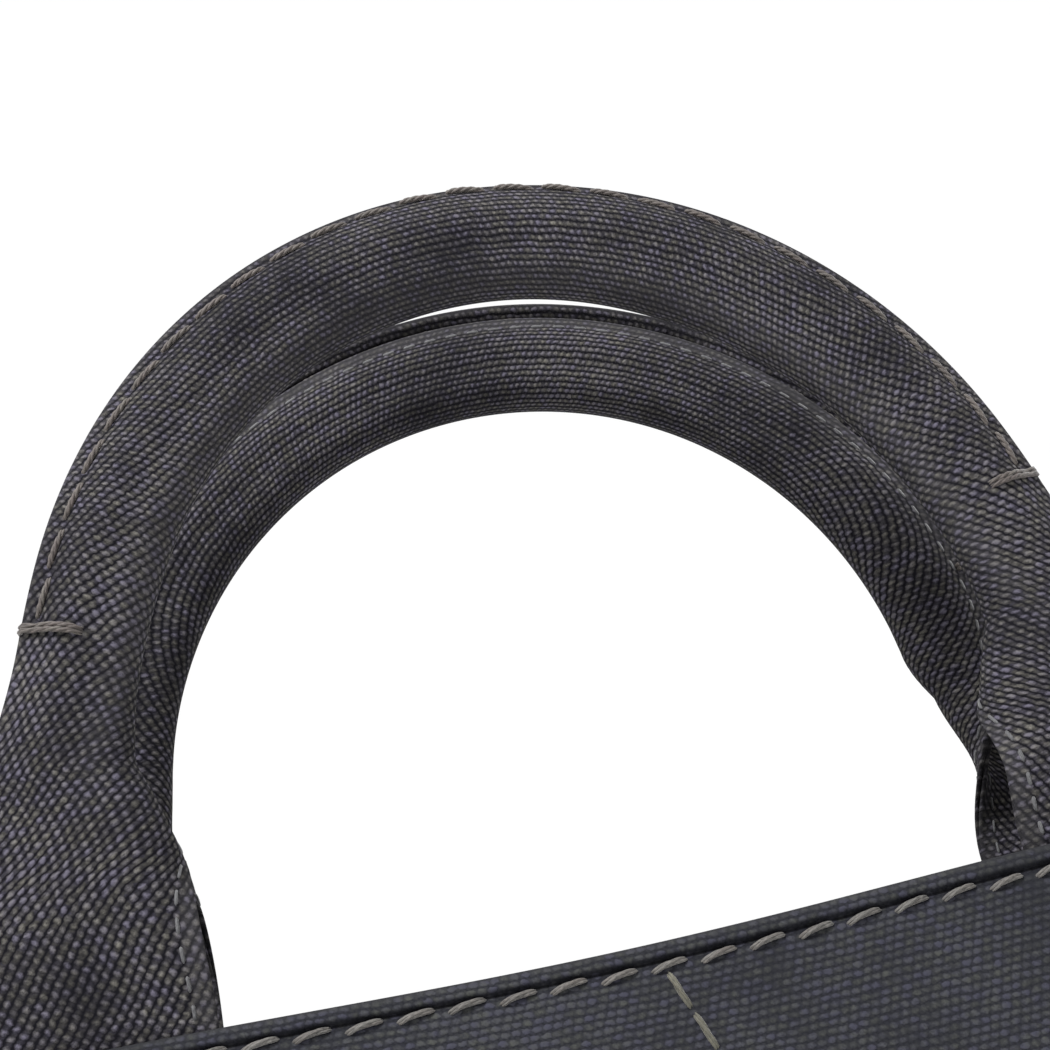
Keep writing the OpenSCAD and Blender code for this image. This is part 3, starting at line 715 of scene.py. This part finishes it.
def handle_point(side, s, v, t):
    """Point of a handle, s along the strap from its left foot's end, v across it from its
    front edge to its rear one, and t outside its middle surface, hanging as the soft strap
    does: the arch leans and bows a little, and the feet follow the hem."""
    high = np.interp(s, way, way_high)
    f = np.sin(math.pi / 2 * np.clip((high - FOLD_FROM) / (FOLD_TO - FOLD_FROM), 0, 1))
    x, y, head, start, rate = flank(v, f)
    inmost = np.minimum(STRAP_W / 2, start + (math.pi / 2 + pinch * f) / rate)
    x = x - flank(inmost, f)[0]
    # The core fills the flanks, the saddle stitches sink into the front edge, and the rear
    # edge stands up a little beyond its machine seam.
    t = t + puffed(v, f, start)
    turn = np.interp(s, way, way_turn)
    sewn = np.abs(turn - math.pi / 2) < math.pi / 2 - tack_angle
    t = t - 0.6 * sewn * bell(v, saddle_inset(s) - STRAP_W / 2, 1.3)
    from_rear = STRAP_W / 2 - v
    t = t + f * (0.35 * eased((3 - from_rear) / 1.2) - 0.3 * bell(from_rear, 4, 0.7))
    k, sign = SOFT[side], -1 if side == "front" else 1
    x = x + k["lip"] * f * eased((-v - 8) / 16)
    x = x - k["drop"] * f * bell(s / STRAP_LEN, 0.63, 0.09) * (1 - eased(np.abs(v) / 18))
    x = x + t * np.cos(head + math.pi / 2)
    y = y + f * (SETBACK - edge_space) + t * np.sin(head + math.pi / 2)
    # From the strap's own x and y to the bag's: px to the right, pz above the hem.
    px = np.interp(s, way, way_x) + x * np.cos(turn)
    pz = np.interp(s, way, way_z) + x * np.sin(turn)
    py = y - strap_y - 0.1 * np.maximum(0, -pz)
    # The soft arch hangs off the true one more and more with its height g, and bows most
    # where bump is 1, on the legs.
    g = np.clip(pz / 150, 0, 1.2)
    bump = (np.sin(math.pi * np.clip(pz / 90, 0, 1)) ** 2 if side == "front"
            else 1.06 * (1 - eased((pz - 29) / 32)) * (0.84 + 0.16 * eased((pz - 10) / 28)))
    near_x = np.clip(px / 60, -1, 1)
    bump = bump * (1 - 0.35 * eased((np.abs(px) - 85) / 45))
    p = np.stack([
        px + k["shift"] * g * g + k["wide"] * px / 100 * np.sin(math.pi * np.clip(g, 0, 1))
        + bump * (k["bow"] * near_x + k["even"] * np.abs(near_x)),
        (py * -sign) + sign * k["lean"] * g * g + k["twist"] * px / 100 * g,
        pz + k["tall"] * g * g + BAG_H], -1)
    hem = p * [1, 1, 0] + [0, 0, BAG_H] + [0, 0, 1] * np.minimum(pz, 0)[..., None]
    hang = 1 - eased(pz / 45)
    return p + hang[..., None] * (sagged(hem) - hem)


strap_canvas = canvas_material(
    "strap_canvas", across=3.1, along=1.57, tilt=math.radians(70), length=0.82, width=0.64,
    gap=colour(0.0036, 0.0034, 0.0050), olive=colour(0.096, 0.091, 0.081),
    violet=colour(0.070, 0.065, 0.086), fuzz=colour(0.032, 0.031, 0.033),
    relief=0.00034, softness=1.35)


def strap_flat(s, v):
    """Place in the flat cloth, and how far the cloth is turned, 0 to 1. On the legs its
    threads run some 30 degrees off the strap's edges, which dies away up the grip."""
    fine = np.linspace(0, STRAP_LEN, 2000)
    rise = np.interp(fine, way, way_high)
    turned = 1 - eased((rise - 76) / 56)
    drift = np.concatenate([[0], np.cumsum(turned[1:] * np.diff(fine))])
    half = drift[-1] / 2
    drift = np.where(fine < STRAP_LEN / 2, drift, 2 * half - drift)
    loose = np.concatenate([[0], np.cumsum((1 - 0.215 * turned[1:]) * np.diff(fine))])
    w = np.interp(s, fine, turned)
    hand = np.where(s < STRAP_LEN / 2, 1, -1)
    out = np.minimum(np.abs(v) / 20, 1)
    v = v + 10 * np.sign(v) * (out - out ** 3 + out ** 4 / 2) * (1 - w)
    # There the cloth is also pulled narrow: it shrinks across by 0.295 and along by 0.215,
    # and each millimetre along slides it 0.517 across and each one across 0.357 along.
    return np.stack([(1 - 0.295 * w) * v - 0.517 * np.interp(s, fine, drift),
                     np.interp(s, fine, loose) + 0.357 * w * v * hand], -1), w


def strap_ply(name, side, low, high, wear_front, wear_rear):
    """One ply of a strap from foot to foot, low to high outside the middle surface, with
    round edges, rubbed by the given shares along its front and rear ones, and with painted
    shade in the groove of the rear machine seam."""
    rim = STRAP_W / 2 - 0.6 * (1 - np.sin(np.linspace(0, math.pi / 2, 5)))
    v = np.concatenate([-rim[::-1], np.linspace(-STRAP_W / 2, STRAP_W / 2, 45)[1:-1], rim])
    full = np.sqrt(np.clip(1 - ((np.abs(v) - STRAP_W / 2 + 0.6) / 0.6).clip(0) ** 2, 0.02, 1))
    mean, half = (low + high) / 2, (high - low) / 2
    s = np.linspace(0, STRAP_LEN, 250)[:, None]
    ring_v = both_sides(v, v)[None, :] + 0 * s
    t = both_sides(mean + half * full, mean - half * full)[None, :] + 0 * s
    s = s + 0 * ring_v
    # The negative bell 4.2 mm in from the rear edge is painted shade: a dark line in the groove
    # of the machine seam.
    wear_and_shade = wear_front * bell(ring_v, -STRAP_W / 2, 1.2) + wear_rear * eased(
        (ring_v - STRAP_W / 2 + 5) / 1.6) - 0.8 * bell(ring_v, STRAP_W / 2 - 4.2, 0.5)
    fold = np.interp(s, way, way_high)
    flat, turned = strap_flat(s, ring_v)
    wear_and_shade = wear_and_shade * (1 - 0.4 * turned) + 0.3 * eased((fold - 30) / 40) * bell(ring_v, -2.5, 3)
    return lofted(name, handle_point(side, s, ring_v, t)[None], flat[None], strap_canvas,
                  wear_and_shade[None], turned[None])


def over_hem(piece, side):
    """Bakes a piece of a handle's placement into its mesh and returns it."""
    y = (-1 if side == "front" else 1) * strap_y / 1000
    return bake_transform(piece)


for side in ("front", "back"):
    strap = strap_ply(f"{side}_strap_cloth", side, PLY_GAP, PLY, 0.6, 0.55)
    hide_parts(f"{side}_strap", f"{side}_left_foot", f"{side}_right_foot")
    backing = strap_ply(f"{side}_strap_backing", side, -PLY, -PLY_GAP, 0.5, 0.6)
    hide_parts(f"{side}_strap_facing")
    for piece, slot in ((strap, "strap"), (backing, "facing")):
        over_hem(piece, side)

# ---- Soft cores of the grips ----
# A length of cotton piping cord fills each fold between the bar tacks and makes the grip
# round. It is laid from three strands.
piping, shade = new_material("piping_cotton", {"Sheen Weight": 0.3,
                                               "Specular IOR Level": 0.2})
uv = shade.put("ShaderNodeUVMap", uv_map="cloth")
flat = shade.put("ShaderNodeVectorMath", {0: uv, 1: (700, 2600, 0)}, operation="MULTIPLY")
yarn = shade.put("ShaderNodeTexNoise", {"Vector": flat, "Scale": 1.0, "Detail": 3.0})
piping_bump = shade.put("ShaderNodeBump", {"Strength": 0.7, "Distance": 0.0003,
                                           "Height": yarn})
painted(piping, yarn.blend(colour(0.42, 0.39, 0.33), colour(0.72, 0.69, 0.62)),
        0.95 - yarn * 0.1, piping_bump)


def station_of(angle):
    """Distance along the strap of an angle round the arch, in radians from its right."""
    arch = slice(len(leg_z), -len(leg_z))
    return np.interp(math.pi - angle, math.pi - way_turn[arch], way[arch])


CORE_R = FOLD_R - PLY - 0.3
for side in ("front", "back"):
    s = np.linspace(station_of(math.pi - tack_angle - 0.05), station_of(tack_angle + 0.05),
                    150)[None, :]
    v_fold = bend_shift + 0 * s
    centre = handle_point(side, s, v_fold, -FOLD_R + 0 * s)
    out = centre - handle_point(side, s, v_fold, 0 * s)
    out /= np.linalg.norm(out, axis=-1, keepdims=True)
    core = twisted(f"{side}_core_cord", centre, out, CORE_R, piping, turns=14.0, sides=14)
    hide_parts(f"{side}_core")
    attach(core, f"{side}_handle")

# ---- Saddle stitching of the grips ----
# Thick waxed thread closes each fold by hand, stitch after stitch nearly touching, four
# millimetres from the outer edge and on both faces.
brown_thread = thread_material("brown_thread", colour(0.014, 0.012, 0.011),
                               colour(0.078, 0.070, 0.060), colour(0.060, 0.045, 0.042))
SADDLE_PITCH, SADDLE_STITCH = 10.2, STITCH + 1.4
row_r = inner_r + grip_reach - SADDLE
count = int((math.pi - 2 * tack_angle) * row_r / SADDLE_PITCH)
angles, share = rows_of(count, SADDLE_PITCH / row_r, SADDLE_STITCH / row_r, 12)
for side in ("front", "back"):
    s = station_of(math.pi / 2 - angles)
    shift = noise.normal(0, 0.16, (count, 1))
    paths, outs = [], []
    for v, lean, high in ((saddle_inset(s) - STRAP_W / 2, 0.55, PLY + 0.6),
                          (STRAP_W / 2 + 0.7, 0.0, -0.95)):
        place = (side, s, v + lean * (share - 0.5) * 1.8 + shift,
                 high - 1.25 * (1 - np.sin(math.pi * share) ** 0.4))
        paths.append(handle_point(*place))
        outs.append(-outward(handle_point, *place))
    stitched = twisted(f"{side}_saddle_threads", np.concatenate(paths), np.concatenate(outs),
                       THREAD / 2 * 1.08, brown_thread, turns=1.6)
    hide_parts(f"{side}_saddle_stitching")
    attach(stitched, f"{side}_handle")

# ---- Bar tacks ----
# Two wraps of the same thread lie across the strap and over its edges at each end of the
# saddle stitching.
TACK_LEN = 10.5
for side in ("front", "back"):
    for hand, angle in (("left", math.pi - tack_angle), ("right", tack_angle)):
        s0 = station_of(angle)
        reach = np.linspace(0, 1, 17)
        front_v = SADDLE - STRAP_W / 2 + TACK_LEN * (1 - reach) - (SADDLE + 0.2) * reach ** 3
        rear_v = STRAP_W / 2 + 0.2 - 3.4 * reach
        wraps, outs = [], []
        for step in (-0.45, 0.45):
            lift = PLY + 0.7 - 1.3 * (1 - eased(reach / 0.16))
            s = s0 + step + 0.5 * (reach - 0.5)
            near = handle_point(side, s, front_v, lift)
            far = handle_point(side, s0 + step + 0 * s, rear_v, lift[::-1])
            crown = (near[-1:] + far[:1]) / 2
            top = handle_point(side, s[-1:], np.array([0.0]), np.array([0.0]))
            away = crown - top
            crown = crown + away / np.linalg.norm(away) * 0.9
            path = np.concatenate([near, crown, far])
            edge = path[len(near) - 3:len(near) + 4]
            path[len(near) - 2:len(near) + 3] = (edge[:-2] + edge[1:-1] + edge[2:]) / 3
            out = path - (near.mean(0) + far.mean(0)) / 2
            wraps.append(path)
            outs.append(out / np.linalg.norm(out, axis=-1, keepdims=True))
        tack = twisted(f"{side}_{hand}_tack_threads", np.stack(wraps), np.stack(outs),
                       THREAD / 2, brown_thread, turns=4.0)
        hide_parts(f"{side}_{hand}_tack")
        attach(tack, f"{side}_handle")

# ---- Machine stitching of the straps ----
# A fine row joins the two plies all along the rear edge, and a box of the same stitches
# holds each foot to the hem's facing.
EDGE_PITCH, EDGE_STITCH, BOX_INSET = 5.0, 3.1, 5.0
for side in ("front", "back"):
    count = int((STRAP_LEN - 2 * (FOOT_LEN + 1)) / EDGE_PITCH)
    s, share = rows_of(count, EDGE_PITCH, EDGE_STITCH, 7)
    s = s + STRAP_LEN / 2
    v = STRAP_W / 2 - 4.0 + 0.3 * np.sin(s / 13)
    for face, name in ((1, "edge"), (-1, "backing")):
        t = face * (PLY - 0.25 + 0.3 * np.clip(3 * np.sin(math.pi * share), 0, 1))
        place = (side, s, v, t)
        row = seam_stitches(f"{side}_strap_{name}_seam", handle_point(*place),
                            -face * outward(handle_point, *place), 0.42 if face > 0 else 0.3)
        over_hem(row, side)
    paths, outs = [], []
    half, low, high = STRAP_W / 2 - BOX_INSET, BOX_INSET, FOOT_LEN - BOX_INSET
    for foot in (0, 1):
        for v0, z0, v1, z1 in ((-half, low, half, low), (-half, high, half, high),
                               (-half, low, -half, high), (half, low, half, high)):
            length = math.hypot(v1 - v0, z1 - z0)
            at, share = machine_row(length)
            part = at / length + 0.5
            s = z0 + (z1 - z0) * part
            s = STRAP_LEN - s if foot else s
            place = (side, s, v0 + (v1 - v0) * part,
                     -PLY - 0.4 * np.sin(math.pi * share) ** 0.5 + 0.3)
            paths.append(handle_point(*place))
            outs.append(outward(handle_point, *place))
    boxes = twisted(f"{side}_foot_threads", np.concatenate(paths), np.concatenate(outs), 0.3,
                    fine_thread, strands=1, sides=5)
    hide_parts(f"{side}_foot_stitching")
    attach(boxes, "bag")

# ---- Floor, light and camera ----
# A pale floor and soft white light from all round, with a large soft lamp above and to the
# left. The camera looks up at the handles from below the hem.
stage_paint, _ = new_material("stage_white", {
    "Base Color": colour(0.93, 0.93, 0.93), "Roughness": 0.9, "Specular IOR Level": 0.1})
floor_mesh = bpy.data.meshes.new("stage_floor")
floor_mesh.from_pydata([(-4, -4, -0.0004), (4, -4, -0.0004), (4, 4, -0.0004),
                        (-4, 4, -0.0004)], [], [(0, 1, 2, 3)])
floor_mesh.materials.append(stage_paint)
stage_floor = bpy.data.objects.new("stage_floor", floor_mesh)
bpy.context.scene.collection.objects.link(stage_floor)

world = bpy.data.worlds.new("studio")
world.use_nodes = True
world.node_tree.nodes["Background"].inputs["Color"].default_value = (1, 1, 1, 1)
world.node_tree.nodes["Background"].inputs["Strength"].default_value = 1.01
bpy.context.scene.world = world
bpy.context.scene.view_settings.view_transform = "Standard"


def soft_lamp(name, place, aim, size, watts):
    """A square lamp at a place, turned to its aim, in metres."""
    lamp = bpy.data.lights.new(name, "AREA")
    lamp.shape, lamp.size, lamp.energy = "SQUARE", size, watts
    made = bpy.data.objects.new(name, lamp)
    bpy.context.scene.collection.objects.link(made)
    back = np.array(place, float) - np.array(aim, float)
    back /= np.linalg.norm(back)
    right = np.cross([0, 0, 1], back)
    right /= np.linalg.norm(right)
    frame_axes = np.column_stack([right, np.cross(back, right), back])
    made.matrix_world = Matrix.Translation(place) @ Matrix(frame_axes.tolist()).to_4x4()


soft_lamp("key_lamp", (-0.50, -0.78, 1.38), (0, 0, 0.35), 0.45, 44.0)
soft_lamp("side_lamp", (1.1, 0.3, 0.9), (0, 0, 0.3), 0.6, 8.0)

azimuth, elevation, tilt = (math.radians(a) for a in (-7.913, -20.259, -11.976))
aim, distance = np.array([-0.003873, -0.0318, BAG_H / 1000 + 0.085421]), 0.417962
back = np.array([math.sin(azimuth) * math.cos(elevation),
                 -math.cos(azimuth) * math.cos(elevation), math.sin(elevation)])
right = np.cross(-back, [0, 0, 1])
right /= np.linalg.norm(right)
up = np.cross(right, -back)
level, upright = (right * math.cos(tilt) + up * math.sin(tilt),
                  up * math.cos(tilt) - right * math.sin(tilt))
lens = bpy.data.cameras.new("camera")
lens.sensor_width, lens.lens = 36.0, 70.3337
lens.clip_start, lens.clip_end = 0.02, 20.0
camera = bpy.data.objects.new("camera", lens)
bpy.context.scene.collection.objects.link(camera)
axes = np.column_stack([level, upright, back])
camera.matrix_world = (Matrix.Translation((aim + distance * back).tolist())
                       @ Matrix(axes.tolist()).to_4x4())
bpy.context.scene.camera = camera
